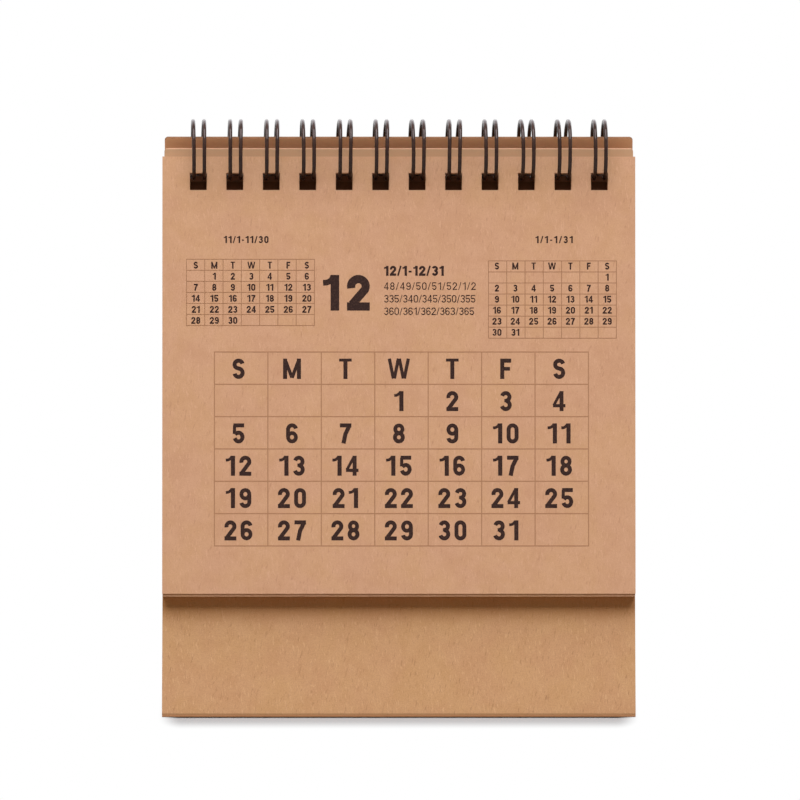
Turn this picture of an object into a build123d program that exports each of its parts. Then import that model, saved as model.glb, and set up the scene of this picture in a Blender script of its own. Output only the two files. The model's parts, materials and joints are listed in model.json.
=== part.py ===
"""Desk calendar: a folded kraft board stand with a pad of leaves hung on twin-loop wire.

Frame: origin at the centre of the base's underside, +X to the right, +Y to the back, +Z up.
The front board leans back, the rear board leans forward, and the wire joins their tops.
"""

import os
from math import acos, atan2, cos, hypot, pi, sin, sqrt

from build123d import *

# Leaves
leaf_width = 109.8
leaf_height = 101.5
leaf_thickness = 0.2
pad_leaf_count = 12
pad_board_gap = 0.1
leaf_pad_gap = 0.1
hang_gap = 0.1

# Stand: one strip of kraft board, folded twice, whose boards narrow a little towards their tops
leaf_overhang = 0.4
side_taper = 0.5
stand_width = leaf_width - 2 * (leaf_overhang - side_taper)
board_thickness = 0.8
panel_length = 132.6
base_depth = 70.9
top_spread = 3.8
top_step = 1.86
fold_radius = 1.0
panel_corner_radius = 0.8
score_width = 0.8
score_depth = 0.25

# Punching: square holes, three to the inch, the same distance in from every edge
inch = 25.4
holes_per_inch = 3
hole_pitch = inch / holes_per_inch
hole_count = int(stand_width / hole_pitch)
hole_size = 4.0
hole_margin = 3.8

# Twin-loop wire
ring_radius = 6.7
wire_diameter = 0.9
twin_gap = 2.4
bend_radius = 1.0
seam_gap = 0.3
seat_gap = 0.3
wire_sides = 6
ring_steps = 18
tip_steps = 4
bend_steps = 2

# Print on the first leaf: a heading between two small tables, and the month's table below them
ink_thickness = 0.05
grid_columns = 7
grid_rows = 6
grid_cell_width = 12.4
grid_cell_height = 7.5
grid_rule = 0.25
grid_shift = 0.6
grid_drop = 45.4
small_cell_height = 2.565
small_rule = 0.16
small_grid_inset = 5.0
heading_width = 40.4
small_grid_drop = 24.0
small_left_rows = 6
small_right_rows = 7
first_weekday = 3
month_days = 31
date_height = 4.65
digit_width = 2.8
digit_gap = 0.3
date_sag = 0.35
month_number_height = 8.3
month_digit_width = 5.35
month_number_drop = 31.7
month_number_middle = -12.1
title_width = 9.6
title_height = 1.6
title_drop = 19.3
note_left = -3.3
note_widths = (13.9, 21.3, 21.2, 20.9)
note_heights = (2.3, 1.6, 1.6, 1.6)
note_drops = (26.5, 30.1, 33.0, 35.9)

# Cutting tools run past the surfaces they cut by this much
overrun = 1.0

os.makedirs("parts", exist_ok=True)

# Both boards are as long as each other, and their slopes leave the spread and the step at their tops
mean_slope = acos(hypot(base_depth - top_spread, top_step) / (2 * panel_length))
slope_difference = 2 * atan2(top_step, base_depth - top_spread)
front_slope = mean_slope - slope_difference / 2
rear_slope = mean_slope + slope_difference / 2

# Directions up each panel and out of its face
front_up = Vector(0, cos(front_slope), sin(front_slope))
rear_up = Vector(0, -cos(rear_slope), sin(rear_slope))
front_normal = Vector(0, -front_up.Z, front_up.Y)
rear_normal = Vector(0, rear_up.Z, -rear_up.Y)

# Corners of the stand on its outer surface, before the folds are rounded
front_toe = Vector(0, -base_depth / 2, 0)
rear_toe = Vector(0, base_depth / 2, 0)
front_top = front_toe + front_up * panel_length
rear_top = rear_toe + rear_up * panel_length

# The wire rests on the lower inner edges of both boards' holes, which lie on one circle about it
hole_foot = hole_margin + hole_size
wire_radius = wire_diameter / 2
front_seat = front_top - front_up * hole_foot - front_normal * board_thickness
rear_seat = rear_top - rear_up * hole_foot - rear_normal * board_thickness
seat_radius = ring_radius + wire_radius + seat_gap
seat_span = rear_seat - front_seat
seat_rise = sqrt(seat_radius**2 - (seat_span.length / 2) ** 2)
span_normal = Vector(0, -seat_span.Z, seat_span.Y).normalized()
ring_centre = (front_seat + rear_seat) / 2 + span_normal * seat_rise

# Distances in front of the ring's centre, measured square to the leaves
board_face = (front_top - ring_centre).dot(front_normal)
pad_back = board_face + pad_board_gap
pad_front = pad_back + leaf_thickness * pad_leaf_count
leaf_back = pad_front + leaf_pad_gap
leaf_front = leaf_back + leaf_thickness
hang_radius = ring_radius - wire_radius - hang_gap


def hang_drop(distance_in_front):
    """How far below the ring's centre the top of a leaf's hole comes to rest against the wire."""
    return sqrt(hang_radius**2 - distance_in_front**2)


def punch_row():
    """The row of square holes, drawn about the current sketch location."""
    with GridLocations(hole_pitch, 0, hole_count, 1):
        Rectangle(hole_size, hole_size, mode=Mode.SUBTRACT)


def stack_outline(back, front, rise):
    """Side view of stacked leaves, whose ends follow the wire's curve at this height above the holes."""
    places = (back, (back + front) / 2, front)
    curve = [(distance, rise - hang_drop(distance)) for distance in places]
    return ThreePointArc(*curve)


# Stand: front board, base and rear board in one folded strip
with BuildPart() as stand:
    with BuildSketch(Plane.YZ) as strip:
        with BuildLine() as strip_outline:
            corners = [(corner.Y, corner.Z) for corner in (front_top, front_toe, rear_toe, rear_top)]
            FilletPolyline(*corners, radius=fold_radius)
            offset(amount=board_thickness, side=Side.LEFT)
        make_face()
    extrude(amount=stand_width / 2, both=True)

    # A scored line across the middle of the base, on its inner face, where the stand folds flat
    with BuildSketch(Plane.XY.offset(board_thickness)) as score:
        Rectangle(stand_width + overrun, score_width)
    extrude(amount=-score_depth, mode=Mode.SUBTRACT)

    # Each board, drawn down from its top edge: square holes, tapered sides and rounded corners
    for top, up, normal in ((front_top, front_up, front_normal), (rear_top, rear_up, rear_normal)):
        with BuildSketch(Plane(origin=top + normal * overrun, x_dir=-up, z_dir=normal)) as cuts:
            with Locations((hole_foot - hole_size / 2, 0)):
                with GridLocations(0, hole_pitch, 1, hole_count):
                    Rectangle(hole_size, hole_size)
            with BuildLine():
                taper_foot = (panel_length - 2 * fold_radius, stand_width / 2)
                taper = Line((0, stand_width / 2 - side_taper), taper_foot)
                Polyline(taper @ 0, (0, stand_width), (panel_length, stand_width), taper @ 1)
            make_face()
            mirror(about=Plane.XZ)
        extrude(amount=-board_thickness - 2 * overrun, mode=Mode.SUBTRACT)
        through_board = stand.edges().filter_by(Axis(top, normal))
        fillet(through_board.sort_by(Axis(top, up))[-2:], panel_corner_radius)
stand.part.label = "stand"
export_step(stand.part, "parts/stand.step")

# Leaves are drawn from the side on a plane through the ring's centre: local X in front, local Y up
leaf_side = Plane(origin=ring_centre, x_dir=front_normal, z_dir=front_normal.cross(front_up))

# Pad: the leaves behind the first one, each hanging a little lower down the wire's curve
with BuildPart() as leaf_pad:
    with BuildSketch(leaf_side) as pad_side:
        with BuildLine():
            pad_top = stack_outline(pad_back, pad_front, hole_margin)
            pad_bottom = stack_outline(pad_back, pad_front, hole_margin - leaf_height)
            Line(pad_top @ 0, pad_bottom @ 0)
            Line(pad_top @ 1, pad_bottom @ 1)
        make_face()
    extrude(amount=leaf_width / 2, both=True)

    with BuildSketch(leaf_side) as hole_side:
        with BuildLine():
            hole_top = stack_outline(pad_back, pad_front, 0)
            hole_bottom = stack_outline(pad_back, pad_front, -hole_size)
            Line(hole_top @ 0, hole_bottom @ 0)
            Line(hole_top @ 1, hole_bottom @ 1)
        make_face()
    for place in GridLocations(hole_pitch, 0, hole_count, 1):
        hole_faces = [place * face for face in hole_side.sketch.faces()]
        extrude(hole_faces, amount=hole_size / 2, both=True, mode=Mode.SUBTRACT)
leaf_pad.part.label = "leaf_pad"
export_step(leaf_pad.part, "parts/leaf_pad.step")

# First leaf: one punched sheet in front of the pad, which turns up and over on the wire
leaf_top = hole_margin - hang_drop(leaf_front)
leaf_plane = Plane(
    origin=ring_centre + front_normal * leaf_back + front_up * leaf_top,
    x_dir=(1, 0, 0),
    z_dir=front_normal,
)
with BuildPart() as front_leaf:
    with BuildSketch(leaf_plane) as sheet:
        with Locations((0, -leaf_height / 2)):
            Rectangle(leaf_width, leaf_height)
        with Locations((0, -hole_margin - hole_size / 2)):
            punch_row()
    extrude(amount=leaf_thickness)
front_leaf.part.label = "front_leaf"
export_step(front_leaf.part, "parts/front_leaf.step")


def ruled_grid(columns, rows, cell_width, cell_height, rule):
    """A table of ruled cells, hung from the middle of its top edge."""
    with Locations((0, -rows * cell_height / 2)):
        Rectangle(columns * cell_width + rule, rows * cell_height + rule)
        with GridLocations(cell_width, cell_height, columns, rows):
            Rectangle(cell_width - rule, cell_height - rule, mode=Mode.SUBTRACT)


# Printed rules: the month's table and the two small ones above it
small_cell_width = (leaf_width - 2 * small_grid_inset - heading_width) / (2 * grid_columns)
small_grid_spread = (heading_width + grid_columns * small_cell_width) / 2
left_middle = grid_shift - small_grid_spread
right_middle = grid_shift + small_grid_spread
with BuildPart() as printed_rules:
    with BuildSketch(leaf_plane.offset(leaf_thickness)) as month_table:
        with Locations((grid_shift, -grid_drop)):
            ruled_grid(grid_columns, grid_rows, grid_cell_width, grid_cell_height, grid_rule)
    extrude(amount=ink_thickness)
    for middle, rows in ((left_middle, small_left_rows), (right_middle, small_right_rows)):
        with BuildSketch(leaf_plane.offset(leaf_thickness)) as small_table:
            with Locations((middle, -small_grid_drop)):
                ruled_grid(grid_columns, rows, small_cell_width, small_cell_height, small_rule)
        extrude(amount=ink_thickness)
printed_rules.part.label = "printed_rules"
export_step(printed_rules.part, "parts/printed_rules.step")


def digits_width(digits, width):
    """Width of this many digits side by side."""
    return digits * (width + digit_gap) - digit_gap


def cell_middle(row, column):
    """Middle of a mark in the month's table, whose first row holds the weekdays' initials."""
    across = (column - (grid_columns - 1) / 2) * grid_cell_width
    down = grid_drop + (row + 1 / 2) * grid_cell_height + date_sag
    return across, -down


# Printed marks: a plain dark field for each initial, date, heading and note on the first leaf
with BuildPart() as printed_marks:
    with BuildSketch(leaf_plane.offset(leaf_thickness)) as marks:
        for column in range(grid_columns):
            with Locations(cell_middle(0, column)):
                Rectangle(digit_width, date_height)
        for day in range(1, month_days + 1):
            week, weekday = divmod(first_weekday + day - 1, grid_columns)
            with Locations(cell_middle(week + 1, weekday)):
                Rectangle(digits_width(len(str(day)), digit_width), date_height)
        with Locations((month_number_middle, -month_number_drop)):
            Rectangle(digits_width(2, month_digit_width), month_number_height)
        with Locations((left_middle, -title_drop), (right_middle, -title_drop)):
            Rectangle(title_width, title_height)
        for width, height, drop in zip(note_widths, note_heights, note_drops):
            with Locations((note_left + width / 2, -drop)):
                Rectangle(width, height)
    extrude(amount=ink_thickness)
printed_marks.part.label = "printed_marks"
export_step(printed_marks.part, "parts/printed_marks.step")

# Wire: the seam, where the closed tips meet the bars between loops, lies low between the two boards
seam_length = bend_radius + wire_diameter + seam_gap + twin_gap / 2
seam_arc = seam_length / ring_radius
seam_middle = atan2(-span_normal.Z, -span_normal.Y)
tip_angle = seam_middle + seam_arc / 2
base_angle = seam_middle - seam_arc / 2 + 2 * pi


def wire_point(across, angle, reach, past):
    """Point beside the ring's centre: across the axis, out at this angle, and past it along the tangent."""
    outward = Vector(0, cos(angle), sin(angle))
    onward = Vector(0, -sin(angle), cos(angle))
    return ring_centre + Vector(across, 0, 0) + outward * reach + onward * past


def bend_corners(start, end, radius, steps):
    """Angle and reach of the corners between straight runs that touch an arc."""
    step = (end - start) / steps
    return [(start + step * (index + 1 / 2), radius / cos(step / 2)) for index in range(steps)]


# Half of one loop: from the middle of a bar, round a bend, up and over the ring and down to the tip
half_loop = [wire_point(-hole_pitch / 2, base_angle, ring_radius, bend_radius)]
for turn, reach in bend_corners(pi / 2, 0, bend_radius, bend_steps):
    across = reach * cos(turn) - bend_radius - twin_gap / 2
    half_loop.append(wire_point(across, base_angle, ring_radius, reach * sin(turn)))
for turn, reach in bend_corners(base_angle, tip_angle, ring_radius, ring_steps):
    half_loop.append(wire_point(-twin_gap / 2, turn, reach, 0))
for turn, reach in bend_corners(0, pi / 2, twin_gap / 2, tip_steps // 2):
    half_loop.append(wire_point(-reach * cos(turn), tip_angle, ring_radius, -reach * sin(turn)))
other_half = [Vector(-point.X, point.Y, point.Z) for point in reversed(half_loop)]

with BuildPart() as loop:
    with BuildLine() as loop_line:
        Polyline(*half_loop, *other_half)
    outward = wire_point(0, base_angle, ring_radius, 0) - ring_centre
    with BuildSketch(Plane(origin=half_loop[0], x_dir=outward, z_dir=(1, 0, 0))) as wire_section:
        RegularPolygon(wire_diameter / 2, wire_sides, major_radius=False, rotation=180 / wire_sides)
    sweep(transition=Transition.RIGHT)

with BuildPart() as wire_binding:
    with GridLocations(hole_pitch, 0, hole_count, 1):
        add(loop.part)
wire_binding.part.label = "wire_binding"
export_step(wire_binding.part, "parts/wire_binding.step")
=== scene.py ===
"""Looks of the desk calendar: kraft board and paper, printed dates, round binding wire and the studio.

Lengths are in metres in the frame's own axes: +X to the reader's right, +Y to the back, +Z up.
"""

import json
import random
from math import cos, pi, radians, sin, sqrt

import bmesh
import bpy
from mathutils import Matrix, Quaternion, Vector


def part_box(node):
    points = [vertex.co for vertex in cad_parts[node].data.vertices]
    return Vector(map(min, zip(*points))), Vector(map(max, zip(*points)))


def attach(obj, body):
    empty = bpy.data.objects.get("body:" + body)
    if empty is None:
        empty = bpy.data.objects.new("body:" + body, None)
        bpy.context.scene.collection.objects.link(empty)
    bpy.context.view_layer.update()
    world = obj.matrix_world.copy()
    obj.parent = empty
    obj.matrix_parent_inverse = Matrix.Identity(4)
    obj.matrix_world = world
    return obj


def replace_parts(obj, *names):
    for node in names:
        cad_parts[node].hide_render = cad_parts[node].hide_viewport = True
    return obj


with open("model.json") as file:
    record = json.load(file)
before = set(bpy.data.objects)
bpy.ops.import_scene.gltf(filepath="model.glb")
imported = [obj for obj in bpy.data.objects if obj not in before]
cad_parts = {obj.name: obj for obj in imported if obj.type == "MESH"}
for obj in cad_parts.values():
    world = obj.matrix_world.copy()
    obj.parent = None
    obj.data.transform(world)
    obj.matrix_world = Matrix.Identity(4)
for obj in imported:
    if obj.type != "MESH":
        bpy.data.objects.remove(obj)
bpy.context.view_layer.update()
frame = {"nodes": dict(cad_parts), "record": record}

MM = 0.001

# Sizes repeated from the model
LEAF_THICKNESS = 0.2 * MM
PAD_LEAVES = 12
HOLE_PITCH = 25.4 / 3 * MM
HOLE_COUNT = 12
HOLE_SIZE = 4.0 * MM
HOLE_MARGIN = 3.8 * MM
RING_RADIUS = 6.7 * MM
WIRE_RADIUS = 0.45 * MM
HANG_GAP = 0.1 * MM
TWIN_GAP = 2.4 * MM
BEND_RADIUS = 1.0 * MM
SEAM_GAP = 0.3 * MM
SEAM_ANGLE = radians(-73.87)
GRID_CELL = (12.4 * MM, 7.5 * MM)
GRID_SHIFT = 0.6 * MM
GRID_DROP = 45.4 * MM
SMALL_CELL = (4.243 * MM, 2.565 * MM)
SMALL_SPREAD = 35.05 * MM
SMALL_DROP = 24.0 * MM
GRID_RULE = 0.25 * MM
SMALL_RULE = 0.16 * MM
COLUMNS = 7

# Pad: the gap between leaves as a share of their pitch, how much narrower they are, and how far out of line
SHEET_GAP_SHARE = 0.04
LEAF_TRIM = 0.15 * MM
LEAF_STRAY = 0.12 * MM
PAD_SEED = 12

# Wire: each loop sits a little askew, turned about the upright, leaning to one side and opened
RING_YAW = (0.03, 0.07)
RING_LEAN = (0.03 * MM, 0.30 * MM)
RING_SPREAD = (0.02 * MM, 0.10 * MM)
ASKEW_POWER = 1.5
RING_STEPS = 72
BEND_STEPS = 7
TIP_STEPS = 14
WIRE_SIDES = 12
WIRE_SEED = 7

# Print: heights of its characters, and how thick the ink is
INK_THICKNESS = 0.012 * MM
DATE_HEIGHT = 4.65 * MM
SMALL_HEIGHT = 1.6 * MM
TITLE_HEIGHT = 1.65 * MM
MONTH_HEIGHT = 8.3 * MM
INITIAL_SHARE = 1.015

# Print: widths, strokes and gaps as shares of a character's height
DIGIT_WIDTH = 0.595
WIDENING = 1.5
DATE_WEIGHT = 0.2
MONTH_WEIGHT = 0.23
SMALL_WEIGHT = 0.21
LIGHT_WEIGHT = 0.13
DATE_GAP = 0.21
SMALL_GAP = 0.1
MITRE_LIMIT = 0.5
ARC_STEPS = 14

# Print: how far the dates are off their tables, the left and the right small month in turn
DATE_SAG = 0.15 * MM
SMALL_LIFTS = (0.13 * MM, -0.24 * MM)
SMALL_SAGS = (0.1 * MM, -0.08 * MM)
SMALL_STEPS = (4.295 * MM, 4.266 * MM)
SMALL_SHIFTS = (0.2 * MM, -0.09 * MM)

# Print: the small months' headings, the month's number and the notes beside it
TITLE_DROP = 19.3 * MM
TITLE_SHIFTS = (-1.0 * MM, 0.4 * MM)
TITLE_LENGTHS = (10.4 * MM, 8.7 * MM)
MONTH_PLACE = (-12.17 * MM, 31.65 * MM)
MONTH_LENGTH = 10.85 * MM
NOTES_LEFT = -3.45 * MM
NOTES_DROPS = (26.55 * MM, 30.1 * MM, 33.05 * MM, 35.95 * MM)
NOTES_LENGTHS = (13.9 * MM, 21.3 * MM, 21.2 * MM, 20.9 * MM)
NOTES_HEIGHTS = (2.32 * MM, 1.76 * MM, 1.76 * MM, 1.76 * MM)
NOTES_WEIGHTS = (MONTH_WEIGHT, LIGHT_WEIGHT, LIGHT_WEIGHT, LIGHT_WEIGHT)

# Print: its content, with each month's number, its first weekday's column and its days
WEEKDAYS = "SMTWTFS"
MONTHS = ((11, 1, 30), (12, 3, 31), (1, 6, 31), (2, 2, 28))
NOTES = {
    12: ("12/1-12/31", "48/49/50/51/52/1/2", "335/340/345/350/355", "360/361/362/363/365"),
    1: ("1/1-1/31", "52/53/1/2/3/4/5/6", "1/2/3/5/7/9/11/13/15", "17/19/21/23/25/27/31"),
}

# Kraft: scales of its noise, and for fibres their lean, their scale across and their scale along
PATCH_SCALE = 85.0
CLOUD_SCALE = 260.0
GRAIN_SCALE = 4300.0
PALE_FIBRES = (1.42, 620.0, 3100.0)
DARK_FIBRES = (1.74, 540.0, 2900.0)
FLECK_CELLS = (1.5, 210.0, 640.0)

# Kraft: levels of the noise between which each mark fades in, and how strong it is
PATCH_LEVELS = (0.35, 0.65)
CLOUD_LEVELS = (0.3, 0.7)
CLOUD_SHARE = 0.35
PALE_LEVELS = (0.54, 0.72)
DARK_LEVELS = (0.56, 0.76)
DARK_SHARE = 0.7
GRAIN_LEVELS = (0.38, 0.68)
GRAIN_SHARE = 0.3
FLECK_LEVELS = (0.05, 0.12)
FLECK_RARITY = 0.05
FLECK_SHARE = 0.6
KRAFT_ROUGHNESS = (0.78, 0.95)
KRAFT_SPECULAR = 0.2
FELT_STRENGTH = 0.2
FELT_DEPTH = 0.05 * MM

# Kraft: share of fibres, then the base, pale, dark and warm hues
PAPER_LOOK = (
    0.6,
    (0.580, 0.320, 0.186, 1),
    (0.69, 0.405, 0.255, 1),
    (0.40, 0.19, 0.10, 1),
    (0.594, 0.336, 0.180, 1),
)
BOARD_LOOK = (
    0.9,
    (0.575, 0.314, 0.157, 1),
    (0.68, 0.405, 0.215, 1),
    (0.36, 0.175, 0.082, 1),
    (0.585, 0.330, 0.153, 1),
)
# Leaves: painted light on their downward-facing cut edges, and the range of facing over which it fades in
LEAF_EDGE_LIGHT = (0.95, 0.53, 0.29, 1)
EDGE_FACING = (0.6, 0.9)

# Board: which way its surfaces face, as ranges of the normal's parts
EDGE_RISE = 0.967
EDGE_RISE_GAP = (0.008, 0.016)
CORNER_TURN = (0.1, 0.2)
FRONT_FACING = (-0.5, -0.2)
INNER_FACING = (-0.2, -0.1)
RIM_FACING = (0.0, 0.1)

# Board: hues of painted shade, shadow, highlight and light, with their reach down from the ring, or for the
# pad's painted shadow from the pad's foot
CUT_EDGE_SHADE = (0.17, 0.075, 0.032, 1)
INNER_FACE_LIGHT = (0.98, 0.53, 0.285, 1)
INNER_LIFT = 3.9 * MM
HOLE_SHADE_TOP = (6.9 * MM, 7.3 * MM)
HOLE_SHADE_FOOT = (9.6 * MM, 11.0 * MM)
HOLE_SHADE_HALF = (HOLE_COUNT - 1) / 2 * HOLE_PITCH + HOLE_SIZE * 2 / 3
HOLE_SHADE_BROWN = (0.045, 0.016, 0.008, 1)
HOLE_SHADE_SHARE = 0.9
PAD_SHADOW_REACH = (1.5 * MM, 7.5 * MM)
PAD_SHADOW_SHARE = 0.55
PAD_SHADOW_HUE = (0.33, 0.125, 0.025, 1)
TOP_SHADE_REACH = (1.8 * MM, 2.4 * MM)
TOP_SHADE = (0.445, 0.278, 0.157, 1)
RIM_REACH = (-0.22 * MM, -0.08 * MM)
RIM_HIGHLIGHT = (0.72, 0.44, 0.28, 1)

# Noise: the levels between which nearly all of it lies, and most of it
WHOLE_NOISE = (0.2, 0.8)
MOST_NOISE = (0.3, 0.7)

# Inks: base hue, worn hue and how much is worn
BLACK_INK = ((0.030, 0.014, 0.011, 1), (0.085, 0.042, 0.030, 1), 0.6)
BROWN_INK = ((0.39, 0.200, 0.105, 1), (0.45, 0.240, 0.130, 1), 0.8)
DEEP_BROWN_INK = ((0.33, 0.165, 0.085, 1), (0.40, 0.210, 0.112, 1), 0.8)
INK_PATCH_SCALE = 2600.0
INK_PATCH_LEVELS = (0.42, 0.75)
INK_GLOSS_SCALE = 5200.0
INK_ROUGHNESS = (0.55, 0.8)
INK_SPECULAR = 0.12

# Enamel of the wire
WIRE_DARK = (0.024, 0.009, 0.006, 1)
WIRE_PALE = (0.040, 0.018, 0.013, 1)
WIRE_SHEEN = (1.0, 0.80, 0.70, 1)
WIRE_TONE_SCALE = 700.0
WIRE_GLOSS_SCALE = 3000.0
WIRE_MARK_SCALE = 2500.0
WIRE_ROUGHNESS = (0.24, 0.34)
WIRE_SPECULAR = 0.1
COAT_WEIGHT = 0.28
COAT_ROUGHNESS = 0.06
MARK_STRENGTH = 0.1
MARK_DEPTH = 0.03 * MM

NODES = frame["nodes"]
RING_CENTRE = Vector(frame["record"]["behaviour"]["joints"][0]["pos_m"])


def widest_normal(node):
    """Normal of a CAD node's largest facet, turned to face the front."""
    facet = max(NODES[node].data.polygons, key=lambda polygon: polygon.area)
    normal = facet.normal.copy()
    return normal if normal.y < 0 else -normal


# Directions of the front board: out of its face, up its slope and to the right
OUT = widest_normal("front_leaf")
UP = Vector((0, OUT.z, -OUT.y))
RIGHT = Vector((1, 0, 0))


def reach(node, direction):
    """Lowest and highest distance of a CAD node from the ring's centre along a direction."""
    spans = [(vertex.co - RING_CENTRE).dot(direction) for vertex in NODES[node].data.vertices]
    return min(spans), max(spans)


# Where the leaves are, from the ring's centre
LEAF_FRONT = reach("front_leaf", OUT)[1]
LEAF_TOP = reach("front_leaf", UP)[1]
LEAF_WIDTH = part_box("front_leaf")[1][0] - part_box("front_leaf")[0][0]
PAD_BACK, PAD_FRONT = reach("leaf_pad", OUT)
PAD_FOOT = -reach("leaf_pad", UP)[0]
HANG_RADIUS = RING_RADIUS - WIRE_RADIUS - HANG_GAP


def mesh_object(name, vertices, faces, material, smooth=False):
    """A new mesh object with one material, its place in its mesh."""
    mesh = bpy.data.meshes.new(name)
    mesh.from_pydata([tuple(vertex) for vertex in vertices], [], faces)
    mesh.validate()
    if smooth:
        mesh.shade_smooth()
    mesh.materials.append(material)
    piece = bpy.data.objects.new(name, mesh)
    bpy.context.scene.collection.objects.link(piece)
    return piece


class Nodes:
    """A small helper that adds shader nodes and links them by socket name."""

    def __init__(self, name):
        self.material = bpy.data.materials.new(name)
        self.material.use_nodes = True
        self.tree = self.material.node_tree
        self.shader = self.tree.nodes["Principled BSDF"]
        self.output = self.tree.nodes["Material Output"]

    def add(self, kind, inputs=(), **settings):
        """A new node, its inputs linked to sockets or set to values."""
        node = self.tree.nodes.new(kind)
        for key, value in settings.items():
            setattr(node, key, value)
        for key, value in dict(inputs).items():
            if isinstance(value, bpy.types.NodeSocket):
                self.tree.links.new(value, node.inputs[key])
            else:
                node.inputs[key].default_value = value
        return node

    def link(self, source, target):
        """A link from one socket to another."""
        self.tree.links.new(source, target)

    def coordinates(self, kind):
        """The surface's place or normal in its object's own space."""
        return self.add("ShaderNodeTexCoord").outputs[kind]

    def part(self, vector, axis):
        """One part of a vector."""
        return self.add("ShaderNodeSeparateXYZ", {0: vector}).outputs[axis]

    def maths(self, operation, *values):
        """Result of a sum on numbers."""
        return self.add("ShaderNodeMath", dict(enumerate(values)), operation=operation).outputs[0]

    def vectors(self, operation, *values, output="Vector"):
        """Result of a sum on vectors."""
        node = self.add("ShaderNodeVectorMath", dict(enumerate(values)), operation=operation)
        return node.outputs[output]

    def noise(self, vector, scale, detail=3.0, roughness=0.55):
        """Soft noise about a half."""
        settings = {"Vector": vector, "Scale": scale, "Detail": detail, "Roughness": roughness}
        return self.add("ShaderNodeTexNoise", settings).outputs["Fac"]

    def stretched(self, angle, across, along):
        """Object coordinates turned by an angle about the leaf's face and stretched into fibres."""
        turned = self.add(
            "ShaderNodeVectorRotate",
            {"Vector": self.coordinates("Object"), "Axis": tuple(OUT), "Angle": angle},
            rotation_type="AXIS_ANGLE",
        )
        scaled = {"Vector": turned.outputs["Vector"], "Scale": (across, along, along)}
        return self.add("ShaderNodeMapping", scaled).outputs["Vector"]

    def ramp(self, value, low, high, start=0.0, end=1.0):
        """A value mapped smoothly from one range to another."""
        return self.add(
            "ShaderNodeMapRange",
            {"Value": value, "From Min": low, "From Max": high, "To Min": start, "To Max": end},
            interpolation_type="SMOOTHSTEP",
        ).outputs["Result"]

    def share(self, value, most):
        """A value from 0 to 1 mapped smoothly to at most a share."""
        return self.ramp(value, 0.0, 1.0, 0.0, most)

    def bump(self, height, strength, depth):
        """Fine relief on the shader's surface."""
        relief = self.add("ShaderNodeBump", {"Height": height, "Strength": strength, "Distance": depth})
        self.link(relief.outputs["Normal"], self.shader.inputs["Normal"])

    def mix(self, factor, first, second):
        """Colour mix of two colours or colour sockets."""
        node = self.add("ShaderNodeMix", data_type="RGBA")
        for socket, value in ((node.inputs[0], factor), (node.inputs[6], first), (node.inputs[7], second)):
            if isinstance(value, bpy.types.NodeSocket):
                self.link(value, socket)
            else:
                socket.default_value = value
        return node.outputs[2]


def kraft(name, fibre_share, base, pale, dark, warm):
    """Uncoated kraft: soft patches of two hues, fine upright fibres, a few flecks and a felted surface."""
    n = Nodes(name)
    place = n.coordinates("Object")
    patches = n.ramp(n.noise(place, PATCH_SCALE), *PATCH_LEVELS)
    clouds = n.ramp(n.noise(place, CLOUD_SCALE, roughness=0.6), *CLOUD_LEVELS, 0.0, CLOUD_SHARE)
    pale_fibres = n.ramp(n.noise(n.stretched(*PALE_FIBRES), 1.0), *PALE_LEVELS)
    dark_fibres = n.ramp(n.noise(n.stretched(*DARK_FIBRES), 1.0), *DARK_LEVELS)
    grain = n.noise(place, GRAIN_SCALE, 2.0, 0.6)
    colour = n.mix(patches, base, warm)
    colour = n.mix(clouds, colour, pale)
    colour = n.mix(n.share(pale_fibres, fibre_share), colour, pale)
    colour = n.mix(n.share(dark_fibres, DARK_SHARE * fibre_share), colour, dark)
    colour = n.mix(n.ramp(grain, *GRAIN_LEVELS, 0.0, GRAIN_SHARE * fibre_share), colour, dark)

    # Flecks lie in a few of the cells
    lattice = {"Vector": n.stretched(*FLECK_CELLS), "Scale": 1.0, "Randomness": 1.0}
    cells = n.add("ShaderNodeTexVoronoi", lattice)
    chosen = n.maths("LESS_THAN", cells.outputs["Color"], FLECK_RARITY)
    small = n.ramp(cells.outputs["Distance"], *FLECK_LEVELS, 1.0, 0.0)
    colour = n.mix(n.share(n.maths("MULTIPLY", chosen, small), FLECK_SHARE), colour, dark)

    n.link(n.ramp(grain, *WHOLE_NOISE, *KRAFT_ROUGHNESS), n.shader.inputs["Roughness"])
    n.shader.inputs["Specular IOR Level"].default_value = KRAFT_SPECULAR
    n.bump(n.maths("ADD", grain, pale_fibres), FELT_STRENGTH, FELT_DEPTH)
    return n, colour


def paper(name, *look):
    """Kraft paper of the leaves, with painted light on its downward-facing cut edges."""
    n, colour = kraft(name, *look)
    downward = n.vectors("DOT_PRODUCT", n.coordinates("Normal"), tuple(-UP), output="Value")
    edge = n.ramp(downward, *EDGE_FACING)
    # Painted light on the edges that face down
    n.link(n.mix(edge, colour, LEAF_EDGE_LIGHT), n.shader.inputs["Base Color"])
    return n.material


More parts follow.
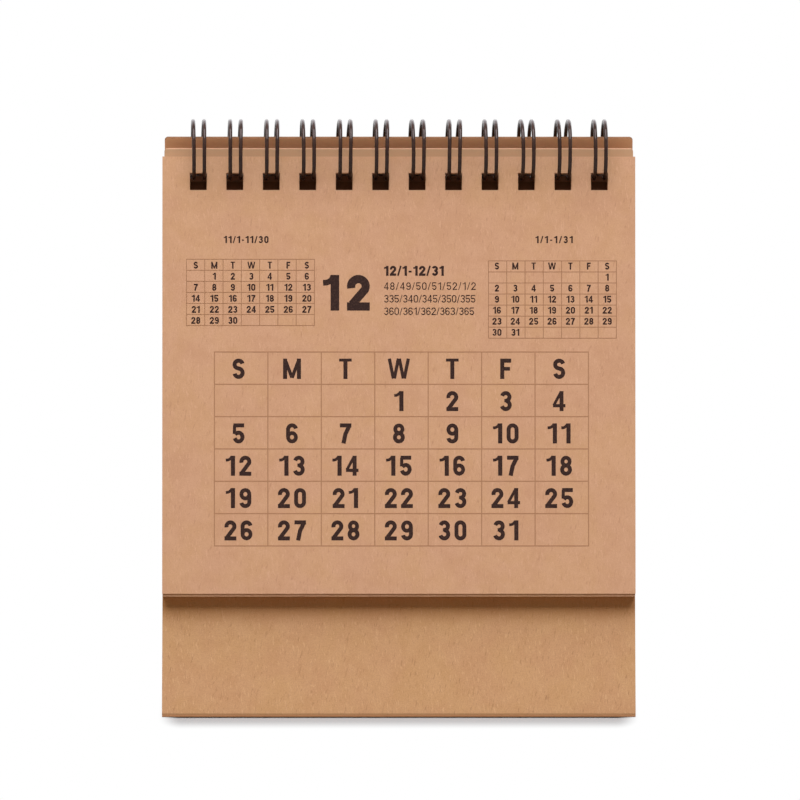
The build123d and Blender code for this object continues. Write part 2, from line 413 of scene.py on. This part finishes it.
def board(name, *look):
    """Kraft board of the stand, with painted shade on its top cut edges, its top strip and round its holes,
    a painted shadow under the pad, a painted highlight on its top rim and painted light on its inner face.
    """
    n, colour = kraft(name, *look)
    place = n.coordinates("Object")
    facing = n.coordinates("Normal")
    rise = n.part(facing, "Z")
    front = n.ramp(n.part(facing, "Y"), *FRONT_FACING, 1.0, 0.0)
    inner = n.maths("MULTIPLY", n.ramp(rise, *INNER_FACING, 1.0, 0.0), front)
    spot = n.vectors("SUBTRACT", place, tuple(RING_CENTRE))
    down = n.vectors("DOT_PRODUCT", spot, tuple(-UP), output="Value")

    # Painted shade on the cut top edges, with the rounded corners beside them
    gap = n.maths("ABSOLUTE", n.maths("SUBTRACT", rise, EDGE_RISE))
    aside = n.ramp(n.maths("ABSOLUTE", n.part(facing, "X")), *CORNER_TURN)
    corner = n.maths("MULTIPLY", aside, n.ramp(rise, *CORNER_TURN))
    cut = n.maths("MAXIMUM", n.ramp(gap, *EDGE_RISE_GAP, 1.0, 0.0), corner)
    colour = n.mix(cut, colour, CUT_EDGE_SHADE)

    # Painted shadow below the pad's foot, painted shade on the strip at the top and a painted highlight on
    # the rim over it
    pad_shadow = n.ramp(down, PAD_FOOT + PAD_SHADOW_REACH[0], PAD_FOOT + PAD_SHADOW_REACH[1], PAD_SHADOW_SHARE, 0.0)
    colour = n.mix(n.maths("MULTIPLY", pad_shadow, front), colour, PAD_SHADOW_HUE)
    # Painted shade on the strip at the top of the front faces
    top = n.ramp(down, *TOP_SHADE_REACH, 1.0, 0.0)
    colour = n.mix(n.maths("MULTIPLY", top, front), colour, TOP_SHADE)
    # Painted highlight on the rim at the front board's top
    rim = n.maths("MULTIPLY", n.ramp(down, *RIM_REACH, 1.0, 0.0), n.ramp(rise, *RIM_FACING))
    colour = n.mix(n.maths("MULTIPLY", rim, front), colour, RIM_HIGHLIGHT)
    # Painted light on the rear board's inner face
    colour = n.mix(inner, colour, INNER_FACE_LIGHT)

    # Painted shade in a band round the holes, which reaches higher on the rear board's inner face
    lifted = n.maths("ADD", down, n.maths("MULTIPLY", inner, INNER_LIFT))
    hole_shade = n.maths("MULTIPLY", n.ramp(lifted, *HOLE_SHADE_TOP), n.ramp(down, *HOLE_SHADE_FOOT, 1.0, 0.0))
    hole_shade = n.maths("MULTIPLY", hole_shade, front)
    across = n.maths("ABSOLUTE", n.part(place, "X"))
    within = n.ramp(across, HOLE_SHADE_HALF, HOLE_SHADE_HALF + HOLE_SIZE / 3, 1.0, 0.0)
    hole_shade = n.maths("MULTIPLY", hole_shade, within)
    n.link(n.mix(n.share(hole_shade, HOLE_SHADE_SHARE), colour, HOLE_SHADE_BROWN), n.shader.inputs["Base Color"])
    return n.material


def ink(name, base, worn, wear):
    """Printing ink soaked into kraft, a little uneven where the fibres show through."""
    n = Nodes(name)
    place = n.coordinates("Object")
    patches = n.ramp(n.noise(place, INK_PATCH_SCALE, 4.0, 0.65), *INK_PATCH_LEVELS, 0.0, wear)
    n.link(n.mix(patches, base, worn), n.shader.inputs["Base Color"])
    gloss = n.ramp(n.noise(place, INK_GLOSS_SCALE), *WHOLE_NOISE, *INK_ROUGHNESS)
    n.link(gloss, n.shader.inputs["Roughness"])
    n.shader.inputs["Specular IOR Level"].default_value = INK_SPECULAR
    return n.material


def wire_coat(name):
    """Dark brown enamel over steel wire, glossy with faint drawing marks."""
    n = Nodes(name)
    place = n.coordinates("Object")
    tone = n.ramp(n.noise(place, WIRE_TONE_SCALE), *MOST_NOISE)
    n.link(n.mix(tone, WIRE_DARK, WIRE_PALE), n.shader.inputs["Base Color"])
    gloss = n.ramp(n.noise(place, WIRE_GLOSS_SCALE), *MOST_NOISE, *WIRE_ROUGHNESS)
    n.link(gloss, n.shader.inputs["Roughness"])
    n.shader.inputs["Specular IOR Level"].default_value = WIRE_SPECULAR
    n.shader.inputs["Specular Tint"].default_value = WIRE_SHEEN
    n.shader.inputs["Coat Weight"].default_value = COAT_WEIGHT
    n.shader.inputs["Coat Roughness"].default_value = COAT_ROUGHNESS
    n.bump(n.noise(place, WIRE_MARK_SCALE), MARK_STRENGTH, MARK_DEPTH)
    return n.material


PAPER = paper("kraft_paper", *PAPER_LOOK)
BOARD = board("kraft_board", *BOARD_LOOK)
INK = ink("black_ink", *BLACK_INK)
RULE_INK = ink("rule_ink", *BROWN_INK)
SMALL_RULE_INK = ink("small_rule_ink", *DEEP_BROWN_INK)
WIRE = wire_coat("wire_enamel")


def repaint(node, material):
    """Gives a CAD node that stays in view its finished material."""
    NODES[node].data.materials.clear()
    NODES[node].data.materials.append(material)


repaint("stand", BOARD)
repaint("front_leaf", PAPER)


def on_leaf(x, drop, out):
    """A point given from the front leaf's top middle: to the right, down the leaf and out from the ring."""
    return RING_CENTRE + RIGHT * x + UP * (LEAF_TOP - drop) + OUT * out


def hang_drop(out):
    """How far below the ring's centre a leaf's hole hangs on the wire, by its distance in front."""
    return sqrt(HANG_RADIUS**2 - out**2)


def punched_sheet(name, back, front, shift, foot):
    """One leaf from the wire down to its foot, the tops of its holes in line with the foremost one's."""
    half = LEAF_WIDTH / 2 - LEAF_TRIM
    top = HOLE_MARGIN - hang_drop(front)
    length = top - foot
    columns = [-half]
    for index in range(HOLE_COUNT):
        middle = (index - (HOLE_COUNT - 1) / 2) * HOLE_PITCH
        columns += [middle - HOLE_SIZE / 2, middle + HOLE_SIZE / 2]
    columns.append(half)
    lift = hang_drop(front) - hang_drop(PAD_FRONT)
    rows = [0, HOLE_MARGIN - lift, HOLE_MARGIN + HOLE_SIZE, length]
    mesh = bmesh.new()
    corners = {}

    def corner(i, j, layer):
        if (i, j, layer) not in corners:
            out = (back, front)[layer]
            point = RING_CENTRE + RIGHT * (columns[i] + shift) + UP * (top - rows[j]) + OUT * out
            corners[i, j, layer] = mesh.verts.new(point)
        return corners[i, j, layer]

    def solid(i, j):
        inside = 0 <= i < len(columns) - 1 and 0 <= j < len(rows) - 1
        return inside and not (j == 1 and i % 2 == 1)

    for i in range(len(columns) - 1):
        for j in range(len(rows) - 1):
            if not solid(i, j):
                continue
            ring = [(i, j), (i, j + 1), (i + 1, j + 1), (i + 1, j)]
            mesh.faces.new([corner(a, b, 1) for a, b in ring])
            mesh.faces.new([corner(a, b, 0) for a, b in reversed(ring)])
            sides = (((i - 1, j), 0), ((i, j + 1), 1), ((i + 1, j), 2), ((i, j - 1), 3))
            for (a, b), k in sides:
                if not solid(a, b):
                    p, q = ring[k], ring[(k + 1) % 4]
                    mesh.faces.new([corner(*q, 1), corner(*p, 1), corner(*p, 0), corner(*q, 0)])
    bmesh.ops.recalc_face_normals(mesh, faces=mesh.faces)
    data = bpy.data.meshes.new(name)
    mesh.to_mesh(data)
    mesh.free()
    data.materials.append(PAPER)
    sheet = bpy.data.objects.new(name, data)
    bpy.context.scene.collection.objects.link(sheet)
    return sheet


def leaf_stack():
    """The twelve leaves behind the first, each a little out of line with the next."""
    chance = random.Random(PAD_SEED)
    for index in range(PAD_LEAVES):
        back = PAD_BACK + (PAD_FRONT - PAD_BACK) * index / PAD_LEAVES
        front = back + LEAF_THICKNESS * (1 - SHEET_GAP_SHARE)
        shift = chance.uniform(-LEAF_STRAY, LEAF_STRAY)
        foot = chance.uniform(0.0, LEAF_STRAY) - PAD_FOOT
        sheet = punched_sheet(f"pad_leaf_{index + 1}", back, front, shift, foot)
        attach(sheet, "base")
        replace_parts(sheet, "leaf_pad")


def ring_point(x, angle, past=0.0):
    """A point on the rings' centre line, or past it along its course."""
    outward = Vector((0, cos(angle), sin(angle)))
    forward = Vector((0, -sin(angle), cos(angle)))
    return RING_CENTRE + RIGHT * x + outward * RING_RADIUS + forward * past


def strand_point(x, lean, yaw, angle):
    """A point on one strand of a loop, which leans the more the higher it is."""
    rise = max(0.0, sin(angle)) ** ASKEW_POWER
    return ring_point(x + lean * rise - yaw * RING_RADIUS * cos(angle), angle)


def wire_path():
    """Centre line of the whole wire: loop after loop, from the left stub to the right one."""
    seam_arc = (BEND_RADIUS + 2 * WIRE_RADIUS + SEAM_GAP + TWIN_GAP / 2) / RING_RADIUS
    base = SEAM_ANGLE - seam_arc / 2 + 2 * pi
    tip = SEAM_ANGLE + seam_arc / 2
    chance = random.Random(WIRE_SEED)
    path = []
    for index in range(HOLE_COUNT):
        middle = (index - (HOLE_COUNT - 1) / 2) * HOLE_PITCH
        left = middle - TWIN_GAP / 2
        right = middle + TWIN_GAP / 2
        yaw = chance.uniform(*RING_YAW)
        lean = chance.uniform(*RING_LEAN)
        spread = chance.uniform(*RING_SPREAD)

        # From the bar between loops round a bend, up and over to the tip
        path.append(ring_point(middle - HOLE_PITCH / 2, base, BEND_RADIUS))
        for k in range(BEND_STEPS + 1):
            turn = pi / 2 * k / BEND_STEPS
            x = left - BEND_RADIUS + BEND_RADIUS * sin(turn)
            path.append(ring_point(x, base, BEND_RADIUS * cos(turn)))
        for k in range(1, RING_STEPS + 1):
            path.append(strand_point(left, lean - spread, yaw, base + (tip - base) * k / RING_STEPS))

        # Round the tip, back over and round a bend to the next bar
        for k in range(1, TIP_STEPS):
            turn = pi * k / TIP_STEPS
            x = middle - TWIN_GAP / 2 * cos(turn)
            path.append(ring_point(x, tip, -TWIN_GAP / 2 * sin(turn)))
        for k in range(RING_STEPS + 1):
            path.append(strand_point(right, lean + spread, yaw, tip + (base - tip) * k / RING_STEPS))
        for k in range(1, BEND_STEPS + 1):
            turn = pi / 2 * k / BEND_STEPS
            x = right + BEND_RADIUS - BEND_RADIUS * cos(turn)
            path.append(ring_point(x, base, BEND_RADIUS * sin(turn)))
    path.append(ring_point((HOLE_COUNT / 2) * HOLE_PITCH, base, BEND_RADIUS))
    return path


def tube(name, path, radius, sides, material):
    """A round tube along a path, closed at both ends, its section carried along without twist."""
    vertices = []
    faces = []
    heading = (path[1] - path[0]).normalized()
    side = heading.orthogonal().normalized()
    for index, point in enumerate(path):
        before = path[max(index - 1, 0)]
        after = path[min(index + 1, len(path) - 1)]
        heading = (after - before).normalized()
        side = (side - heading * side.dot(heading)).normalized()
        other = heading.cross(side)
        for k in range(sides):
            turn = 2 * pi * k / sides
            vertices.append(point + (side * cos(turn) + other * sin(turn)) * radius)
        if index:
            start = (index - 1) * sides
            for k in range(sides):
                after_k = (k + 1) % sides
                faces.append((start + k, start + after_k, start + sides + after_k, start + sides + k))
    faces.append(tuple(reversed(range(sides))))
    last = (len(path) - 1) * sides
    faces.append(tuple(range(last, last + sides)))
    return mesh_object(name, vertices, faces, material, smooth=True)


def arc(cx, cy, rx, ry, start, end):
    """Points of an elliptic arc, angles in degrees."""
    points = []
    for k in range(ARC_STEPS + 1):
        angle = radians(start + (end - start) * k / ARC_STEPS)
        points.append((cx + rx * cos(angle), cy + ry * sin(angle)))
    return points


def glyph(character, w):
    """Strokes of one character, each as (points, width, closed), and the character's width.

    Its height is one, w is the usual width of its strokes, and a wide stroke makes it wider. The numbers
    for each character are shares of its height, shares of w, or degrees of an arc.
    """
    h = w / 2
    extra = max(w - DATE_WEIGHT, 0.0)
    width = DIGIT_WIDTH + WIDENING * extra
    cx = width / 2
    r = (width - w) / 2
    high = 1 - h - r
    low = h + r
    upper = (1 - h + 0.5) / 2 + 0.01
    lower = (h + 0.5) / 2 + 0.005
    ry_up = 1 - h - upper
    ry_low = lower - h
    if character == "0":
        return [(arc(cx, high, r, r, 0, 180) + arc(cx, low, r, r, 180, 360), w, True)], width
    if character == "1":
        right = 0.36 - extra
        stem = [(right, 0), (right, 1)]
        flag = [(0.0, 0.78), (0.10, 0.785), (0.18, 0.815), (0.25, 0.875), (right - 0.05, 0.965)]
        return [(stem, w * 1.05, False), (flag, w * 0.7, False)], right + h + 0.01
    if character == "2":
        swan = arc(cx, high, r, r, 195, -25) + [(h * 1.25, w * 0.75)]
        foot = [(0, h), (width, h)]
        return [(swan, w, False), (foot, w, False)], width
    if character == "3":
        top = arc(cx, upper, r * 0.94, ry_up, 165, -88)
        bottom = arc(cx, lower, r, ry_low, 88, -165)
        waist = [(cx - 0.07, 0.525), (cx + 0.06, 0.525)]
        return [(top, w, False), (bottom, w, False), (waist, w * 0.85, False)], width
    if character == "4":
        width += 0.03
        stem = [(0.43, 0), (0.43, 1)]
        slope = [(0.41, 0.965), (0.045, 0.29)]
        bar = [(0, 0.27), (width, 0.27)]
        return [(stem, w, False), (slope, w * 0.72, False), (bar, w * 0.82, False)], width
    if character == "5":
        top = [(0.04, 1 - h), (width - 0.02, 1 - h)]
        side = [(h, 1 - h), (h * 0.9, 0.47)]
        hook = arc(cx, 0.32, r, 0.32 - h, 148, -165)
        return [(top, w, False), (side, w * 0.8, False), (hook, w, False)], width
    if character == "6":
        back = arc(cx, high, r, r, 10, 180) + [(h, low)]
        ring = arc(cx, 0.31, r, 0.31 - h, 0, 345)
        return [(back, w, False), (ring, w * 0.96, True)], width
    if character == "7":
        top = [(0.02, 1 - h), (width, 1 - h)]
        slope = [(width - h - 0.01, 1 - w * 0.7), (0.30, 0.48), (0.20, 0)]
        return [(top, w, False), (slope, w * 1.05, False)], width
    if character == "8":
        top = arc(cx, upper, r * 0.92, ry_up, 0, 348)
        bottom = arc(cx, lower, r, ry_low, 0, 348)
        return [(top, w * 0.96, True), (bottom, w, True)], width
    if character == "9":
        six, width = glyph("6", w)
        strokes = []
        for points, stroke_width, closed in six:
            strokes.append(([(width - x, 1 - y) for x, y in points], stroke_width, closed))
        return strokes, width
    if character == "S":
        top = arc(cx, upper, r, ry_up, 12, 250)
        bottom = arc(cx, lower, r, ry_low, 70, -168)
        return [(top + bottom, w, False)], width
    if character == "M":
        width = 0.88
        left = [(h, 0), (h, 1)]
        right = [(width - h, 0), (width - h, 1)]
        fall = [(h * 0.9, 0.97), (width / 2, 0.06)]
        climb = [(width / 2, 0.06), (width - h * 0.9, 0.97)]
        slim = w * 0.85
        return [(left, w, False), (right, w, False), (fall, slim, False), (climb, slim, False)], width
    if character == "T":
        width = 0.62
        bar = [(0, 1 - w * 0.36), (width, 1 - w * 0.36)]
        stem = [(0.31, 0), (0.31, 0.95)]
        return [(bar, w * 0.72, False), (stem, w, False)], width
    if character == "W":
        width = 0.98
        quarter = width / 4
        strokes = []
        for k in range(4):
            ends = (1, 0.02) if k % 2 == 0 else (0.02, 1)
            foot = quarter * k + 0.02
            strokes.append(([(foot, ends[0]), (foot + quarter * 0.82, ends[1])], w * 0.82, False))
        return strokes, width
    if character == "F":
        width = 0.54
        stem = [(h, 0), (h, 1)]
        top = [(h, 1 - h), (width, 1 - h)]
        bar = [(h, 0.5), (0.48, 0.5)]
        return [(stem, w, False), (top, w, False), (bar, w * 0.9, False)], width
    if character == "-":
        return [([(0.03, 0.42), (0.33, 0.42)], w * 0.8, False)], 0.36
    if character == "/":
        return [([(0.03, 0), (0.33, 1)], w * 0.75, False)], 0.36
    return [], 0.25


def ribbon(points, width, closed):
    """Left and right edge of a stroke of constant width, with mitred corners and square ends."""
    count = len(points)
    left = []
    right = []
    for index in range(count):
        here = Vector(points[index])
        before = Vector(points[(index - 1) % count]) if closed or index else here
        after = Vector(points[(index + 1) % count]) if closed or index < count - 1 else here
        into = (here - before).normalized() if (here - before).length else (after - here).normalized()
        onward = (after - here).normalized() if (after - here).length else into
        heading = (into + onward).normalized()
        normal = Vector((-heading.y, heading.x))
        stretch = 1 / max(normal.dot(Vector((-into.y, into.x))), MITRE_LIMIT)
        left.append(here + normal * width / 2 * stretch)
        right.append(here - normal * width / 2 * stretch)
    return left, right


def stroke_prism(points, width, closed, name):
    """A stroke as a closed prism, one unit thick, for joining with others."""
    left, right = ribbon(points, width, closed)
    count = len(points)
    vertices = []
    for level in (0.0, 1.0):
        vertices += [(p.x, p.y, level) for p in left] + [(p.x, p.y, level) for p in right]
    layer = 2 * count
    faces = []
    last = count if closed else count - 1
    for k in range(last):
        n = (k + 1) % count
        faces.append((k, n, count + n, count + k))
        faces.append((layer + k, layer + count + k, layer + count + n, layer + n))
        faces.append((k, layer + k, layer + n, n))
        faces.append((count + k, count + n, layer + count + n, layer + count + k))
    if not closed:
        end = count - 1
        faces.append((0, count, layer + count, layer))
        faces.append((end, layer + end, layer + count + end, count + end))
    mesh = bpy.data.meshes.new(name)
    mesh.from_pydata(vertices, [], faces)
    work = bmesh.new()
    work.from_mesh(mesh)
    bmesh.ops.recalc_face_normals(work, faces=work.faces)
    work.to_mesh(mesh)
    work.free()
    return mesh


GLYPHS = {}


def glyph_mesh(character, weight):
    """The character's strokes joined into one solid, as (vertices, faces, width), made once."""
    key = (character, weight)
    if key in GLYPHS:
        return GLYPHS[key]
    strokes, width = glyph(character, weight)
    pieces = []
    for index, (points, stroke_width, closed) in enumerate(strokes):
        mesh = stroke_prism(points, stroke_width, closed, f"stroke_{index}")
        piece = bpy.data.objects.new(f"stroke_{index}", mesh)
        bpy.context.scene.collection.objects.link(piece)
        pieces.append(piece)
    if not pieces:
        GLYPHS[key] = ([], [], width)
        return GLYPHS[key]
    first = pieces[0]
    for other in pieces[1:]:
        union = first.modifiers.new("join", "BOOLEAN")
        union.operation = "UNION"
        union.solver = "EXACT"
        union.object = other
    bpy.context.view_layer.update()
    done = bpy.data.meshes.new_from_object(first.evaluated_get(bpy.context.evaluated_depsgraph_get()))
    vertices = [tuple(vertex.co) for vertex in done.vertices]
    faces = [tuple(polygon.vertices) for polygon in done.polygons]
    for piece in pieces:
        bpy.data.objects.remove(piece)
    GLYPHS[key] = (vertices, faces, width)
    return GLYPHS[key]


def line_widths(words, height, weight):
    """Width of each character of a line."""
    return [height * glyph_mesh(character, weight)[2] for character in words]


class Print:
    """Ink on one leaf: gathers every character and rule, then becomes one object."""

    def __init__(self, surface, drop_shift=0.0):
        self.surface = surface
        self.drop_shift = drop_shift
        self.vertices = []
        self.faces = []

    def place(self, x, drop, level):
        """A point of the ink, its level 0 on the paper and 1 on top."""
        return on_leaf(x, drop + self.drop_shift, self.surface + level * INK_THICKNESS)

    def line(self, words, left, drop, height, weight, length):
        """A line of characters spread over a length, its middle this far down the leaf."""
        widths = line_widths(words, height, weight)
        gap = (length - sum(widths)) / max(len(words) - 1, 1)
        for character, width in zip(words, widths):
            vertices, faces, _ = glyph_mesh(character, weight)
            base = len(self.vertices)
            for px, py, level in vertices:
                self.vertices.append(self.place(left + px * height, drop + height * (0.5 - py), level))
            self.faces += [tuple(base + k for k in face) for face in faces]
            left += width + gap

    def centred(self, words, middle, drop, height, weight, gap):
        """A line of characters about a middle, with gaps given as a share of their height."""
        length = sum(line_widths(words, height, weight)) + gap * height * (len(words) - 1)
        self.line(words, middle - length / 2, drop, height, weight, length)

    def bar(self, left, right, top, bottom):
        """A plain rule."""
        base = len(self.vertices)
        for level in (0.0, 1.0):
            for x, drop in ((left, top), (left, bottom), (right, bottom), (right, top)):
                self.vertices.append(self.place(x, drop, level))
        for face in ((3, 2, 1, 0), (4, 5, 6, 7), (0, 1, 5, 4), (1, 2, 6, 5), (2, 3, 7, 6), (3, 0, 4, 7)):
            self.faces.append(tuple(base + k for k in face))

    def table(self, middle, top, cell, rows, rule):
        """Rules of a table: uprights full height, and level rules in spans between them."""
        width = cell[0] * COLUMNS
        left = middle - width / 2
        for k in range(COLUMNS + 1):
            x = left + k * cell[0]
            self.bar(x - rule / 2, x + rule / 2, top - rule / 2, top + rows * cell[1] + rule / 2)
        for j in range(rows + 1):
            for k in range(COLUMNS):
                x = left + k * cell[0]
                y = top + j * cell[1]
                self.bar(x + rule / 2, x + cell[0] - rule / 2, y - rule / 2, y + rule / 2)

    def finish(self, name, material, body):
        """Everything gathered, as one object that rides on a body."""
        piece = mesh_object(name, self.vertices, self.faces, material)
        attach(piece, body)
        return piece


def month_dates(page, middle, step, top, row_height, first, days, height, weight, gap):
    """Weekday initials and dates of one month, from the middle of its first row down."""
    for column, initial in enumerate(WEEKDAYS):
        x = middle + (column - (COLUMNS - 1) / 2) * step
        page.centred(initial, x, top, height * INITIAL_SHARE, weight, gap)
    for day in range(1, days + 1):
        row, column = divmod(first + day - 1, COLUMNS)
        x = middle + (column - (COLUMNS - 1) / 2) * step
        page.centred(str(day), x, top + row_height * (row + 1), height, weight, gap)


def month_rows(first, days):
    """Rows of a month's table, the initials' row counted."""
    return 1 + -(-(first + days) // COLUMNS)


def month_page(page, before, current, after):
    """One leaf's print: the month's table, its number and notes, and the two small months."""
    number, first, days = current
    top = GRID_DROP + GRID_CELL[1] / 2 + DATE_SAG
    month_dates(page, 0.0, GRID_CELL[0], top, GRID_CELL[1], first, days, DATE_HEIGHT, DATE_WEIGHT, DATE_GAP)
    for side, month in enumerate((before, after)):
        middle = GRID_SHIFT + (2 * side - 1) * SMALL_SPREAD
        small_top = SMALL_DROP - SMALL_LIFTS[side] + SMALL_CELL[1] / 2 + SMALL_SAGS[side]
        place = (middle + SMALL_SHIFTS[side], SMALL_STEPS[side], small_top, SMALL_CELL[1])
        month_dates(page, *place, *month[1:], SMALL_HEIGHT, SMALL_WEIGHT, SMALL_GAP)
        length = TITLE_LENGTHS[side]
        left = middle + TITLE_SHIFTS[side] - length / 2
        heading = f"{month[0]}/1-{month[0]}/{month[2]}"
        page.line(heading, left, TITLE_DROP, TITLE_HEIGHT, SMALL_WEIGHT, length)
    left = MONTH_PLACE[0] - MONTH_LENGTH / 2
    page.line(str(number), left, MONTH_PLACE[1], MONTH_HEIGHT, MONTH_WEIGHT, MONTH_LENGTH)
    for note in zip(NOTES[number], NOTES_DROPS, NOTES_HEIGHTS, NOTES_WEIGHTS, NOTES_LENGTHS):
        words, drop, height, weight, length = note
        page.line(words, NOTES_LEFT, drop, height, weight, length)


def ruled_page(surface, drop_shift, months, name, body):
    """The rules of one leaf: the month's table in one piece and the two small tables in another."""
    before, current, after = months
    large = Print(surface, drop_shift)
    large.table(GRID_SHIFT, GRID_DROP, GRID_CELL, month_rows(*current[1:]), GRID_RULE)
    small = Print(surface, drop_shift)
    for side, month in enumerate((before, after)):
        middle = GRID_SHIFT + (2 * side - 1) * SMALL_SPREAD
        small.table(middle, SMALL_DROP - SMALL_LIFTS[side], SMALL_CELL, month_rows(*month[1:]), SMALL_RULE)
    rules = large.finish(f"{name}_rules", RULE_INK, body)
    small_rules = small.finish(f"{name}_small_rules", SMALL_RULE_INK, body)
    return rules, small_rules


def printed_pages():
    """Print on the first leaf, and the next month's print on the leaf behind it."""
    front = Print(LEAF_FRONT)
    month_page(front, *MONTHS[:3])
    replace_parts(front.finish("front_dates", INK, "leaf"), "printed_marks")
    for rules in ruled_page(LEAF_FRONT, 0.0, MONTHS[:3], "front", "leaf"):
        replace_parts(rules, "printed_rules")
    pad_surface = PAD_FRONT - LEAF_THICKNESS * SHEET_GAP_SHARE
    drop_shift = hang_drop(PAD_FRONT) - hang_drop(LEAF_FRONT)
    behind = Print(pad_surface, drop_shift)
    month_page(behind, *MONTHS[1:])
    behind.finish("next_dates", INK, "base")
    ruled_page(pad_surface, drop_shift, MONTHS[1:], "next", "base")


def binding():
    """The round wire in place of its plain solid."""
    wire = tube("binding_wire", wire_path(), WIRE_RADIUS, WIRE_SIDES, WIRE)
    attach(wire, "base")
    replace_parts(wire, "wire_binding")


leaf_stack()
printed_pages()
binding()


# Studio: the floor's hues, and how far from the object's footprint its shadow fades out
FLOOR_REACH = 3.0
FLOOR_GREY = (0.310, 0.308, 0.300, 1)
FLOOR_BOUNCE = (0.27, 0.24, 0.20, 1)
FOOTPRINT = (50.0 * MM, 35.5 * MM, 0.0)
SHADOW_SQUEEZE = (1.4, 1.0, 1.0)
SHADOW_REACH = (1.0 * MM, 8.5 * MM)
WHITE = (1.0, 1.0, 1.0, 1)

# Studio: the camera, with its scale in pixels for each radian
CAMERA_DISTANCE = 1.747
CAMERA_ELEVATION = radians(15.0)
CAMERA_AZIMUTH = radians(0.37)
CAMERA_ROLL = radians(0.10)
CAMERA_TARGET = Vector((0.37 * MM, 0.0, 67.09 * MM))
PHOTO_SCALE = 7450.6
PHOTO_SIDE = 800.0
SENSOR = 36.0
VIEW_DEPTH = 20.0

# Studio: the room's light, and each lamp's place, width, depth and power in watts
ROOM_LIGHT = 0.18
ROOM_TINT = (1.0, 0.82, 0.58, 1)
LAMP_TINT = (0.985, 1.005, 1.08)
LAMPS = {
    "key_light": (Vector((0.0, -0.38, 2.02)), 2.3, 1.45, 83.0),
    "back_light": (Vector((0.0, 2.5, 1.25)), 4.2, 2.4, 50.0),
}


def direct_rays(tree):
    """A socket that is one for rays that show the surroundings: seen, mirrored or through glass."""
    paths = tree.nodes.new("ShaderNodeLightPath")
    seen = paths.outputs["Is Camera Ray"]
    for kind in ("Is Glossy Ray", "Is Transmission Ray"):
        either = tree.nodes.new("ShaderNodeMath")
        either.operation = "MAXIMUM"
        tree.links.new(seen, either.inputs[0])
        tree.links.new(paths.outputs[kind], either.inputs[1])
        seen = either.outputs[0]
    return seen


def backdrop(name):
    """White floor: shaded near the object, so that it keeps the shadow, and plain white farther out."""
    n = Nodes(name)
    seen = direct_rays(n.tree)
    near = n.add("ShaderNodeBsdfDiffuse", {"Color": n.mix(seen, FLOOR_BOUNCE, FLOOR_GREY)})
    far = n.add("ShaderNodeEmission", {"Color": WHITE, "Strength": 1.0})
    side = n.vectors("ABSOLUTE", n.coordinates("Object"))
    gap = n.vectors("MAXIMUM", n.vectors("SUBTRACT", side, FOOTPRINT), (0, 0, 0))
    span = n.vectors("LENGTH", n.vectors("MULTIPLY", gap, SHADOW_SQUEEZE), output="Value")
    share = n.maths("MULTIPLY", n.ramp(span, *SHADOW_REACH), seen)
    mix = n.add("ShaderNodeMixShader", {0: share, 1: near.outputs[0], 2: far.outputs[0]})
    n.link(mix.outputs[0], n.output.inputs["Surface"])
    return n.material


def lamp(name, place, width, depth, power):
    """A soft area light turned to the object."""
    data = bpy.data.lights.new(name, "AREA")
    data.shape = "RECTANGLE"
    data.size = width
    data.size_y = depth
    data.energy = power
    data.color = LAMP_TINT
    light = bpy.data.objects.new(name, data)
    light.location = place
    light.rotation_euler = (CAMERA_TARGET - place).to_track_quat("-Z", "Y").to_euler()
    bpy.context.scene.collection.objects.link(light)


def studio():
    """Floor, pale surroundings, a broad key light over the front and a weaker one behind."""
    corners = [(x * FLOOR_REACH, y * FLOOR_REACH, 0.0) for x, y in ((-1, -1), (1, -1), (1, 1), (-1, 1))]
    floor = mesh_object("floor", corners, [(0, 1, 2, 3)], backdrop("floor_white"))
    world = bpy.data.worlds.new("studio")
    bpy.context.scene.world = world
    world.use_nodes = True
    tree = world.node_tree
    room = tree.nodes["Background"]
    room.inputs["Color"].default_value = ROOM_TINT
    room.inputs["Strength"].default_value = ROOM_LIGHT
    white = tree.nodes.new("ShaderNodeBackground")
    white.inputs["Strength"].default_value = 1.0
    mix = tree.nodes.new("ShaderNodeMixShader")
    tree.links.new(direct_rays(tree), mix.inputs[0])
    tree.links.new(room.outputs[0], mix.inputs[1])
    tree.links.new(white.outputs[0], mix.inputs[2])
    tree.links.new(mix.outputs[0], tree.nodes["World Output"].inputs["Surface"])
    for name, settings in LAMPS.items():
        lamp(name, *settings)


def camera():
    """A long lens at the photograph's angle."""
    data = bpy.data.cameras.new("camera")
    data.sensor_width = SENSOR
    data.lens = SENSOR * PHOTO_SCALE / PHOTO_SIDE
    data.clip_end = VIEW_DEPTH
    view = bpy.data.objects.new("camera", data)
    level = cos(CAMERA_ELEVATION)
    back = Vector((-sin(CAMERA_AZIMUTH) * level, -cos(CAMERA_AZIMUTH) * level, sin(CAMERA_ELEVATION)))
    view.location = CAMERA_TARGET + back * CAMERA_DISTANCE
    turn = (-back).to_track_quat("-Z", "Y") @ Quaternion((0, 0, 1), CAMERA_ROLL)
    view.rotation_euler = turn.to_euler()
    bpy.context.scene.collection.objects.link(view)
    bpy.context.scene.camera = view


studio()
camera()
bpy.context.scene.view_settings.view_transform = "Standard"
